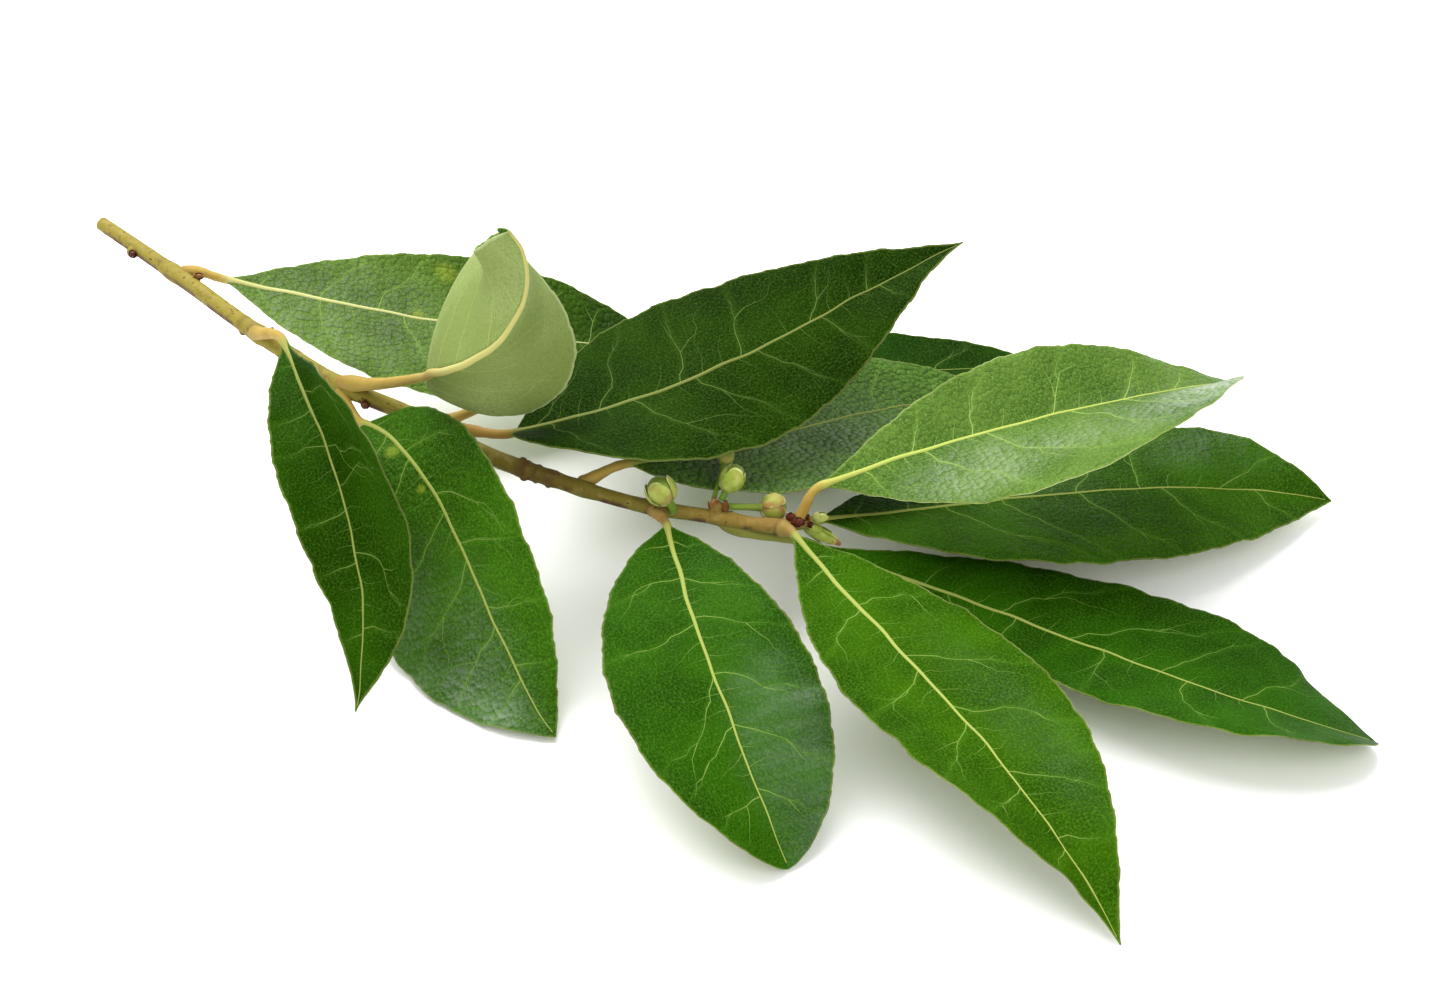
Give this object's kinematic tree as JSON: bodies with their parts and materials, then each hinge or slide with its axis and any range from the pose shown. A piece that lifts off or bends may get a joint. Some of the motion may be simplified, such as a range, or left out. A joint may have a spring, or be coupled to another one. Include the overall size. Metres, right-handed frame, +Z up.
{
  "type": "bay leaf branch",
  "caption": "Cut bay laurel branch lying down: a slim curved woody stem with broad leathery leaves and small round flower buds on stalks.",
  "frame": {"origin": "on the surface the branch lies on, under the middle of its bounding box", "axes": "+X along the branch from its cut end to its growing tip, +Y towards its back, +Z up"},
  "size_m": [0.2154, 0.1582, 0.0774],
  "materials": {
    "bark": "thin olive-brown bark with small corky spots",
    "leaf": "waxy dark green above, matt pale green below, pale yellow-green veins",
    "flower_bud": "smooth pale yellow-green bracts on a green stalk",
    "leaf_bud": "small reddish-brown scales",
    "tip_bud": "pale green scales with a brown point"
  },
  "bodies": {
    "root": {"stem": "bark", "leaf_01": "leaf", "leaf_02": "leaf", "leaf_03": "leaf", "leaf_04": "leaf", "leaf_05": "leaf", "leaf_06": "leaf", "leaf_07": "leaf", "leaf_08": "leaf", "leaf_09": "leaf", "leaf_10": "leaf", "leaf_11": "leaf", "leaf_12": "leaf", "flower_bud_1": "flower_bud", "flower_bud_2": "flower_bud", "flower_bud_3": "flower_bud", "flower_bud_4": "flower_bud", "leaf_bud_1": "leaf_bud", "leaf_bud_2": "leaf_bud", "leaf_bud_3": "leaf_bud", "leaf_bud_4": "leaf_bud", "leaf_bud_5": "leaf_bud", "leaf_bud_6": "leaf_bud", "tip_bud_green": "tip_bud", "tip_bud_pale": "tip_bud"}
  },
  "joints": []
}
